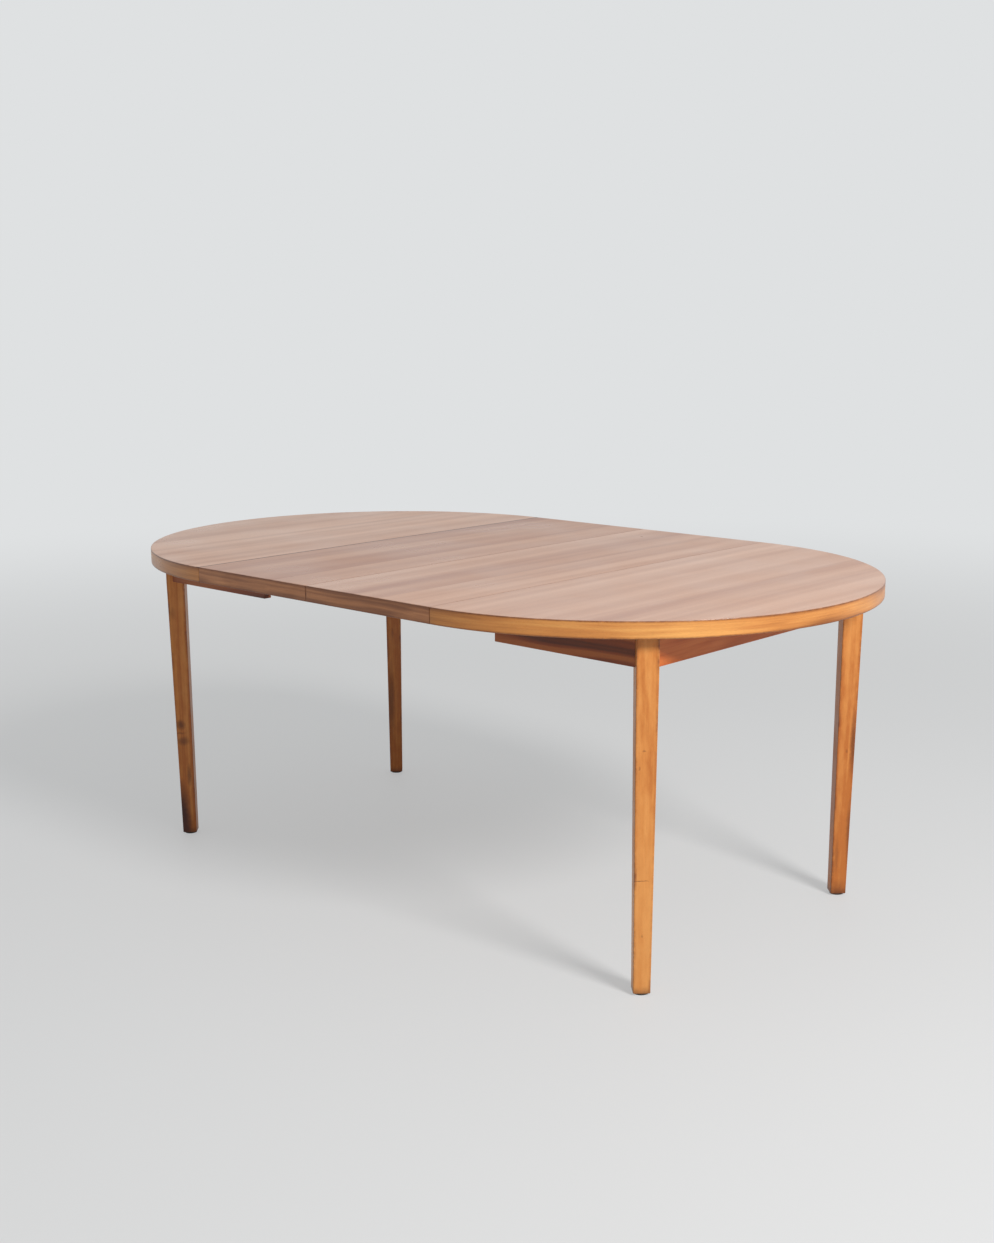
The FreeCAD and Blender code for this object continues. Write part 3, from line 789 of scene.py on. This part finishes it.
# Knots, dents, dirt and a hairline across, on the face that looks to the right front: height, place
# across, half width and half height in millimetres, and how dark
legMarks = {
    "right_front": (
        (229, 0, 16, 1.0, 0.65), (480, 2, 3, 2, 0.45), (446, -6, 2, 3, 0.45), (120, 4, 2, 3, 0.4),
    ),
    "right_back": (
        (330, 5, 2, 4, 0.4), (345, 18, 6, 70, 0.6), (150, 17, 5, 60, 0.5), (90, -6, 4, 40, 0.3),
        (8, -4, 26, 26, 0.4),
    ),
    "left_front": (
        (279, 1, 11, 12, 0.65), (238, 6, 13, 11, 0.55), (258, -2, 15, 3, 0.35), (150, 16, 5, 26, 0.5),
        (50, -4, 17, 75, 1.0), (12, -4, 24, 50, 0.9), (555, -4, 9, 14, 0.2),
    ),
    "left_back": ((400, 3, 3, 14, 0.3), (210, -4, 9, 90, 0.5)),
}


# The leg's corners at a level, from the CAD piece's own vertices, along and across its diagonal
def legSpan(nodeName, centre, outward, atTop):
    across = Vector((-outward.y, outward.x))
    points = [vertex.co for vertex in nodes[nodeName].data.vertices]
    level = (max if atTop else min)(point.z for point in points)
    there = [Vector((point.x, point.y)) - centre for point in points if abs(point.z - level) < 0.1 * mm]
    out = [point.dot(outward) for point in there]
    side = [point.dot(across) for point in there]
    return (min(out), min(side)), (max(out), max(side))


def legLoops(nodeName, seed):
    low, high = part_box(nodeName)
    centre = undersideOf(low, high).xy
    outward = outwardAt(centre).xy
    across = Vector((-outward.y, outward.x))
    wide = legSpan(nodeName, centre, outward, True)
    slim = legSpan(nodeName, centre, outward, False)
    stations = [(low.z, leg["footEase"]), (low.z + leg["footEase"], 0)]
    count = int((high.z - low.z) / leg["station"])
    stations += [(low.z + (high.z - low.z) * step / count, 0) for step in range(1, count + 1)]
    loops = []
    for level, inset in stations:
        share = min((level - low.z) / (apronUnder - low.z), 1)
        lowCorner = [slim[0][i] + (wide[0][i] - slim[0][i]) * share + inset for i in (0, 1)]
        highCorner = [slim[1][i] + (wide[1][i] - slim[1][i]) * share - inset for i in (0, 1)]
        rubbed = []
        for corner in range(4):
            # Steps this wide through the noise wear no two arrises alike
            spot = (corner * leg["arrisApart"], seed * leg["legApart"], level / leg["wornLength"])
            rubbed.append(max(noise.noise(spot), 0))
        radii = [leg["ease"] + leg["worn"] * value for value in rubbed]
        section = easedSection(lowCorner, highCorner, radii, leg["margin"])
        loop = []
        for index, ((out, side), eased) in enumerate(section):
            place = centre + outward * out + across * side
            wear = leg["evenWear"] + leg["moreWear"] * rubbed[index // cornerPoints]
            loop.append((Vector((place.x, place.y, level)), eased * wear))
        loops.append(loop)
    return loops


# The size in millimetres and the strength of the stain's mottling
mottle = {"width": 13, "length": 42, "strength": 0.5}

# How light each leg is at some heights in millimetres, up to the last one. Besides the stain's own tone this
# holds
# painted light and shade: the lower part of the right front leg is lightened with painted light, and the two
# left legs, which stand in the top's shadow, are darkened partly with painted shade.
toneTop = 700
legTonesAndShade = {
    "right_front": ((0, 0.2), (180, 0.22), (420, -0.04), (700, 0.02)),
    "right_back": ((0, -0.26), (200, -0.22), (420, -0.16), (600, -0.02), (700, 0.04)),
    "left_front": ((0, -0.3), (120, -0.18), (400, -0.12), (700, -0.06)),
    "left_back": ((0, -0.22), (300, -0.16), (700, -0.1)),
}


def legToneAndShade(place):
    def tone(material, moved):
        apart = addNode(material, "SeparateXYZ", {0: addNode(material, "TexCoord").outputs["Object"]})
        share = addNode(material, "Math", {0: apart.outputs["Z"], 1: toneTop * mm}, operation="DIVIDE")
        tones = [(height / toneTop, lift) for height, lift in legTonesAndShade[place]]
        even = toneAlong(material, share, tones)
        patch = spots(material, moved, mottle["width"], mottle["length"], 3.0, 0.6)
        centred = addNode(material, "Math", {0: patch, 1: 0.5}, operation="SUBTRACT")
        uneven = {0: centred, 1: mottle["strength"], 2: even}
        return addNode(material, "Math", uneven, operation="MULTIPLY_ADD")

    return tone


# Darkens a leg at its marks and its dirty foot, all with ragged outlines
def legMarking(place):
    low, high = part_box(place + "_leg")
    centre = (low + high) / 2
    half = (high.x - low.x) / 2
    inward = math.sqrt(0.5) * half * leg["faceShare"]

    def marking(material, colour):
        plain = addNode(material, "TexCoord").outputs["Object"]
        ragged = spots(material, plain, 7, 9, 4.0, 0.65)
        reach = {0: ragged.outputs["Color"], 1: (leg["ragged"],) * 3, 2: plain}
        shifted = addNode(material, "VectorMath", reach, operation="MULTIPLY_ADD")
        for height, across, halfWidth, halfHeight, dark in legMarks[place]:
            along = math.sqrt(0.5) * across * mm
            level = height * mm + leg["ragged"] / 2
            mark = {
                "Vector": shifted,
                "Location": (centre.x + inward + along, centre.y - inward + along, level),
                "Rotation": (0, 0, math.radians(-45)),
                "Scale": (leg["markDepth"], halfWidth * mm, halfHeight * mm),
            }
            local = addNode(material, "Mapping", mark, vector_type="TEXTURE")
            far = addNode(material, "VectorMath", {0: local}, operation="LENGTH").outputs["Value"]
            fade = {"Value": far, "From Min": 1.3, "From Max": 0.4, "To Min": 0.0, "To Max": dark}
            near = addNode(material, "MapRange", fade)
            marked = {"Factor": near, "A": colour, "B": linear(leg["markColour"])}
            colour = addNode(material, "Mix", marked, data_type="RGBA").outputs["Result"]
        dirt = {
            "Value": addNode(material, "SeparateXYZ", {0: shifted}).outputs["Z"],
            "From Min": leg["dirtTop"], "From Max": leg["dirtLow"], "To Max": leg["dirt"],
        }
        dirty = addNode(material, "MapRange", dirt, interpolation_type="SMOOTHSTEP")
        soiled = {"Factor": dirty, "A": colour, "B": linear(leg["markColour"])}
        return addNode(material, "Mix", soiled, data_type="RGBA").outputs["Result"]

    return marking


def makeLegs():
    for half in halves:
        for row in longSides:
            place = half + "_" + row
            nodeName = place + "_leg"
            # Each leg gets its own copy of the stain, lightened with painted light or darkened with painted
            # shade
            tone = legToneAndShade(place)
            finish = woodFinish("stainedBeechLegToneAndShade_" + place, beechLeg, "up", tone, marks=legMarking(place))
            seed = len(half) + len(row) * 3  # another one for each leg
            addPiece(place + "Leg", skinOf(legLoops(nodeName, seed)), finish, nodeName)
    print("legs done")


# Feet

pad = {"ease": 0.8 * mm, "edge": 0.3, "bulge": 0.4 * mm, "steps": 48}


# Each separate solid of a CAD piece, as its lowest and highest corner
def solidsOf(nodeName):
    shell = shellOf(nodeName)
    left = set(shell.verts)
    boxes = []
    while left:
        reached = {left.pop()}
        waiting = list(reached)
        while waiting:
            vertex = waiting.pop()
            for edge in vertex.link_edges:
                other = edge.other_vert(vertex)
                if other in left:
                    left.discard(other)
                    reached.add(other)
                    waiting.append(other)
        places = [vertex.co for vertex in reached]
        low = Vector([min(place[axis] for place in places) for axis in range(3)])
        high = Vector([max(place[axis] for place in places) for axis in range(3)])
        boxes.append((low, high))
    shell.free()
    return sorted(boxes, key=lambda box: tuple(round(value, 5) for value in box[0]))


def makeFeet():
    felt = blotchyFinish("pressedWoolFelt", woolFelt, Sheen_Weight=0.3)
    for half in halves:
        shell = bmesh.new()
        for low, high in solidsOf(half + "_foot_glides"):
            radius = (high.x - low.x) / 2
            thick = high.z - low.z
            ease = pad["ease"]
            edge = ease * pad["edge"]
            waist = radius - pad["bulge"] / 2
            profile = [
                (radius - ease, 0), (radius - edge, edge), (waist, ease),
                (radius, thick / 2), (waist, thick - ease), (radius - ease, thick),
            ]
            turnPiece(shell, undersideOf(low, high), profile, pad["steps"])
        addPiece(half + "Glides", shell, felt, half + "_foot_glides")
    print("feet done")


# Frame and slides

frameEase = 1.0 * mm
slideEase = 0.8 * mm
blockEase = 0.5 * mm


def easedNode(nodeName, radius, finish):
    addPiece(nodeName + "Eased", easeEdges(shellOf(nodeName), radius), finish, nodeName)


def makeFrame():
    shadedSideApron = woodFinish("stainedBeechSideApronShaded", shadedBeechApron, "along")
    litEndBoard = woodFinish("stainedBeechEndApronLit", litBeechEndApron, "across")
    rail = woodFinish("waxedBeechSlide", bareBeech, "along")
    bar = woodFinish("plainBeechBar", bareBeech, "across")
    pine = woodFinish("sawnPineBlock", sawnPine, "across")
    strip = woodFinish("teakSeamStrip", leafEdge, "across")
    for half in halves:
        easedNode(half + "_end_apron", frameEase, litEndBoard)
        easedNode(half + "_cross_bar", slideEase, bar)
        easedNode(half + "_corner_blocks", blockEase, pine)
        easedNode(half + "_top_blocks", blockEase, pine)
        easedNode(half + "_seam_strip", top["underEase"], strip)
        for row in longSides:
            easedNode(half + "_" + row + "_apron", frameEase, shadedSideApron)
            easedNode(half + "_" + row + "_rail", slideEase, rail)
    for row in longSides:
        easedNode(row + "_middle_rail", slideEase, rail)
    easedNode("middle_tie", slideEase, bar)
    for leaf in leaves:
        easedNode(leaf + "_seam_strips", top["underEase"], strip)
    print("frame and slides done")


# Pegs

peg = {"taper": 2 * mm, "tip": 0.8, "flutes": 18, "flutePoints": 4, "fluteDepth": 0.25 * mm}


# Fluted dowels, which let the glue out of their holes, with a tapered tip at each end
def makePegs():
    beech = woodFinish("beechPeg", bareBeech, "along")
    steps = peg["flutes"] * peg["flutePoints"]
    for board in seamBoards:
        nodeName = board + "_seam_pegs"
        shell = bmesh.new()
        for low, high in solidsOf(nodeName):
            centre = (low + high) / 2
            radius = (high.z - low.z) / 2
            stations = [
                (low.x, peg["tip"]), (low.x + peg["taper"], 1),
                (high.x - peg["taper"], 1), (high.x, peg["tip"]),
            ]
            loops = []
            for x, share in stations:
                loop = []
                for step in range(steps):
                    angle = math.tau * step / steps
                    groove = peg["fluteDepth"] * (step % peg["flutePoints"] == 0)
                    out = (radius - groove) * share
                    point = (x, centre.y + out * math.cos(angle), centre.z + out * math.sin(angle))
                    loop.append((Vector(point), 0))
                loops.append(loop)
            skinOf(loops, shell)
        addPiece(board + "Pegs", shell, beech, nodeName)
    print("pegs done")


# Fixings

screw = {
    "slotWidth": 1.0 * mm,
    "slotDepth": 1.0 * mm,
    "slotSteps": 12,
    "headDepth": 2.4 * mm,
    "shankShare": 0.5,
    "pitch": 1.8 * mm,
    "core": 0.78,
    "tip": 6 * mm,
    "point": 0.2 * mm,
    "steps": 16,
}
hookScrew = {
    "headDepth": 2.5 * mm,
    "crown": 0.7 * mm,
    "crownSide": 0.15 * mm,
    "crownDrop": 0.4 * mm,
    "ease": 0.2 * mm,
    "shankShare": 2.5 / 5.5,
    "tip": 1 * mm,
    "tipShare": 0.6,
    "steps": 32,
}
bolt = {
    "pitch": 1.25 * mm,
    "threadDepth": 0.65 * mm,
    "threaded": 14 * mm,
    "chamfer": 1.0 * mm,
    "tipShare": 0.75,
    "runOut": 0.5 * mm,
    "sides": 18,
    "stepsPerTurn": 6,
}
hexNut = {"corner": 7.5 * mm, "chamfer": 0.9 * mm, "blunt": 1.01}
pinEase = 0.6 * mm
hookEase = 0.35 * mm


# The two sides of a screw's head beside its slot, each from its face up to the slot's floor
def slottedFace(shell, centre, radii, turn):
    steps = screw["slotSteps"]
    for side in (0, math.pi):
        loops = []
        for radius, level in zip(radii, (0, screw["slotDepth"])):
            start = math.asin(screw["slotWidth"] / 2 / radius)
            sweep = math.pi - 2 * start
            angles = [turn + side + start + sweep * step / steps for step in range(steps + 1)]
            raised = centre + Vector((0, 0, level))
            loops.append([(raised + radius * Vector((math.cos(a), math.sin(a), 0)), 0) for a in angles])
        skinOf(loops, shell)


# Slotted countersunk wood screws that point up, each with its slot as the driver left it
def woodScrews(nodeName):
    shell = bmesh.new()
    for low, high in solidsOf(nodeName):
        centre = undersideOf(low, high)
        head = (high.x - low.x) / 2
        shank = head * screw["shankShare"]
        core = shank * screw["core"]
        long = high.z - low.z
        floor = head - (head - shank) * screw["slotDepth"] / screw["headDepth"]
        slottedFace(shell, centre, (head, floor), chance.uniform(0, math.pi))
        profile = [(floor, screw["slotDepth"]), (shank, screw["headDepth"]), (shank, long / 3)]
        level = long / 3 + screw["pitch"] / 2
        while level < long - screw["tip"]:
            profile += [(core, level), (shank, level + screw["pitch"] / 2)]
            level += screw["pitch"]
        profile += [(core, long - screw["tip"]), (screw["point"], long)]
        turnPiece(shell, centre, profile, screw["steps"])
    return shell


# Slotted screws with a low crown and a plain shoulder, which the hooks turn on and catch
def hookScrews(nodeName):
    shell = bmesh.new()
    depth = hookScrew["headDepth"]
    ease = hookScrew["ease"]
    for low, high in solidsOf(nodeName):
        centre = undersideOf(low, high)
        head = (high.x - low.x) / 2
        shank = head * hookScrew["shankShare"]
        long = high.z - low.z
        side = head - hookScrew["crownSide"]
        slottedFace(shell, centre, (head - hookScrew["crown"], side), chance.uniform(0, math.pi))
        profile = [
            (side, screw["slotDepth"]), (head, screw["slotDepth"] + hookScrew["crownDrop"]),
            (head, depth - ease), (head - ease, depth), (shank, depth),
            (shank, long - hookScrew["tip"]), (shank * hookScrew["tipShare"], long),
        ]
        turnPiece(shell, centre, profile, hookScrew["steps"])
    return shell


# A ring of points round an axis that runs level, out from the table's middle to a leg
def ringRound(centre, outward, radii):
    across = Vector((-outward.y, outward.x, 0))
    points = []
    for step, radius in enumerate(radii):
        angle = math.tau * step / len(radii)
        away = across * math.sin(angle) + Vector((0, 0, math.cos(angle)))
        points.append((centre + away * radius, 0))
    return points


# Bolts into the legs, whose inner ends have a real helical thread for the nut
def legBolts(nodeName):
    shell = bmesh.new()
    sides = bolt["sides"]
    steps = int(bolt["threaded"] / bolt["pitch"] * bolt["stepsPerTurn"])
    for low, high in solidsOf(nodeName):
        centre = (low + high) / 2
        outward = outwardAt(centre)
        radius = (high.z - low.z) / 2
        half = (high.x - low.x) / 2 * math.sqrt(2) - radius
        start = centre - outward * half
        loops = []
        for index in range(steps + 1):
            along = bolt["threaded"] * index / steps
            tip = radius * bolt["tipShare"] + along
            radii = []
            for step in range(sides):
                phase = (along / bolt["pitch"] - step / sides) % 1
                thread = radius - bolt["threadDepth"] * abs(2 * phase - 1)
                radii.append(min(thread, tip) if along < bolt["chamfer"] else thread)
            loops.append(ringRound(start + outward * along, outward, radii))
        plain = start + outward * (bolt["threaded"] + bolt["runOut"])
        for place in (plain, centre + outward * half):
            loops.append(ringRound(place, outward, [radius] * sides))
        skinOf(loops, shell)
    return shell


# Hexagon nuts, chamfered at both ends
def legNuts(nodeName):
    shell = bmesh.new()
    chamfer = hexNut["chamfer"]
    flat = hexNut["corner"] * math.cos(math.radians(30))
    sides = [flat / math.cos(math.radians(angle % 60 - 30)) for angle in range(0, 360, 10)]
    blunt = [min(side, flat * hexNut["blunt"]) for side in sides]
    for low, high in solidsOf(nodeName):
        centre = (low + high) / 2
        outward = outwardAt(centre)
        half = (high.x - low.x) / 2 * math.sqrt(2) - flat
        stations = ((-half, blunt), (-half + chamfer, sides), (half - chamfer, sides), (half, blunt))
        skinOf([ringRound(centre + outward * along, outward, radii) for along, radii in stations], shell)
    return shell


def railStops(nodeName):
    return easeEdges(shellOf(nodeName), pinEase, 0)


def makeFixings():
    steel = blotchyFinish("zincPlatedSteel", zincSteel, Metallic=1.0)
    brass = blotchyFinish("stampedBrass", tarnishedBrass, Metallic=1.0)
    kinds = {
        "LegBolts": (legBolts, "_leg_bolts"),
        "LegNuts": (legNuts, "_leg_nuts"),
        "FrameScrews": (woodScrews, "_frame_screws"),
        "RailStops": (railStops, "_rail_stops"),
    }
    for half in halves:
        for kind, (make, ending) in kinds.items():
            addPiece(half + kind, make(half + ending), steel, half + ending)
    addPiece("tieScrews", woodScrews("middle_tie_screws"), steel, "middle_tie_screws")
    for owner in boardNodes:
        nodeName = owner + "_latch_screws"
        addPiece(owner + "HookScrews", hookScrews(nodeName), steel, nodeName)
    for owner in seamBoards:
        for row in longSides:
            nodeName = owner + "_" + row + "_hook"
            hook = easeEdges(shellOf(nodeName), hookEase, 0)
            addPiece(nodeName + "Eased", hook, brass, nodeName)
    print("fixings done")


# Stage, light and camera

studio = {
    "floor": "#cdcccb",
    "cloudShade": 0.97,
    "floorRadius": 40,
    "backdrop": "#dfe1e2",
    "backdropShare": 0.54,
    "fadeFrom": 1.5,
    "fadeTo": 6.5,
    "ambient": 0.36,
    "lampPlace": (4.2, -0.77, 3.35),
    "lampAim": (0, 0, 0.5),
    "lampSize": 1.35,
    "lampPower": 266,
}


# 1 for what the camera sees, straight or in a mirror or glass, and 0 for light on its way
def seenDirectly(material):
    path = addNode(material, "LightPath").outputs
    seen = path["Is Camera Ray"]
    for ray in ("Is Glossy Ray", "Is Transmission Ray"):
        seen = addNode(material, "Math", {0: seen, 1: path[ray]}, operation="MAXIMUM")
    return seen


# Near the table the floor keeps its shadow, and far away it turns into the backdrop. What the camera
# sees of it is lifted towards the backdrop's colour, without any more light on the table.
def makeFloor():
    material = newMaterial("paintedStudioFloor")
    place = addNode(material, "TexCoord").outputs["Object"]
    cloud = addNode(material, "TexNoise", {"Vector": place, "Scale": 0.6, "Detail": 2.0})
    base = linear(studio["floor"])
    darker = tuple(value * studio["cloudShade"] for value in base[:3]) + (1,)
    colour = addNode(material, "ValToRGB", {"Fac": cloud}, stops=[(0.3, darker), (0.7, base)])
    near = addNode(material, "BsdfPrincipled", {"Base Color": colour, "Roughness": 0.6})
    far = addNode(material, "Emission", {"Color": linear(studio["backdrop"]), "Strength": 1.0})
    away = addNode(material, "VectorMath", {0: place}, operation="LENGTH")
    reach = {"Value": away.outputs["Value"], "From Min": studio["fadeFrom"], "From Max": studio["fadeTo"]}
    fade = addNode(material, "MapRange", reach, interpolation_type="SMOOTHSTEP")
    lift = {0: seenDirectly(material), 1: studio["backdropShare"]}
    lifted = addNode(material, "Math", lift, operation="MULTIPLY")
    share = addNode(material, "Mix", {"Factor": fade, "A": lifted, "B": 1.0}, data_type="FLOAT")
    both = addNode(material, "MixShader", {0: share, 1: near, 2: far})
    addNode(material, "OutputMaterial", {"Surface": both})
    shell = bmesh.new()
    bmesh.ops.create_circle(shell, cap_ends=True, radius=studio["floorRadius"], segments=96)
    mesh = bpy.data.meshes.new("studioFloor")
    shell.to_mesh(mesh)
    shell.free()
    mesh.materials.append(material)
    floor = bpy.data.objects.new("studioFloor", mesh)
    bpy.context.scene.collection.objects.link(floor)


def makeLight():
    world = bpy.data.worlds.new("studio")
    bpy.context.scene.world = world
    world.use_nodes = True
    world.node_tree.nodes.clear()
    seen = addNode(world, "Background", {"Color": linear(studio["backdrop"]), "Strength": 1.0})
    lit = addNode(world, "Background", {"Color": (1, 1, 1, 1), "Strength": studio["ambient"]})
    both = addNode(world, "MixShader", {0: seenDirectly(world), 1: lit, 2: seen})
    addNode(world, "OutputWorld", {"Surface": both})

    lamp = bpy.data.lights.new("keyLamp", "AREA")
    lamp.shape = "DISK"
    lamp.size = studio["lampSize"]
    lamp.energy = studio["lampPower"]
    key = bpy.data.objects.new("keyLamp", lamp)
    key.location = studio["lampPlace"]
    key.visible_camera = False
    aim = Vector(studio["lampAim"]) - key.location
    key.rotation_euler = aim.to_track_quat("-Z", "Y").to_euler()
    bpy.context.scene.collection.objects.link(key)
    print("light done")


# The photograph's camera, whose frame is 994 by 1243
view = {
    "place": (2.3854, -2.5586, 1.2573),
    "yaw": 42.875,
    "pitch": -12.869,
    "roll": -0.286,
    "frameHeight": 1243,
    "focalPixels": 1571.9,
    "middlePixel": 670,
}


def makeCamera():
    lens = bpy.data.cameras.new("photoCamera")
    lens.sensor_width = 36
    lens.lens = view["focalPixels"] * lens.sensor_width / view["frameHeight"]
    lens.shift_y = view["middlePixel"] / view["frameHeight"] - 0.5
    camera = bpy.data.objects.new("photoCamera", lens)
    heading = Euler((math.radians(90 + view["pitch"]), 0, math.radians(view["yaw"])))
    turned = heading.to_matrix() @ Matrix.Rotation(math.radians(view["roll"]), 3, "Z")
    camera.matrix_world = Matrix.Translation(view["place"]) @ turned.to_4x4()
    bpy.context.scene.collection.objects.link(camera)
    bpy.context.scene.camera = camera


makeTop()
makeBands()
makeLegs()
makeFeet()
makeFrame()
makePegs()
makeFixings()
makeFloor()
makeLight()
makeCamera()
bpy.context.scene.view_settings.view_transform = "Standard"

bpy.context.view_layer.update()
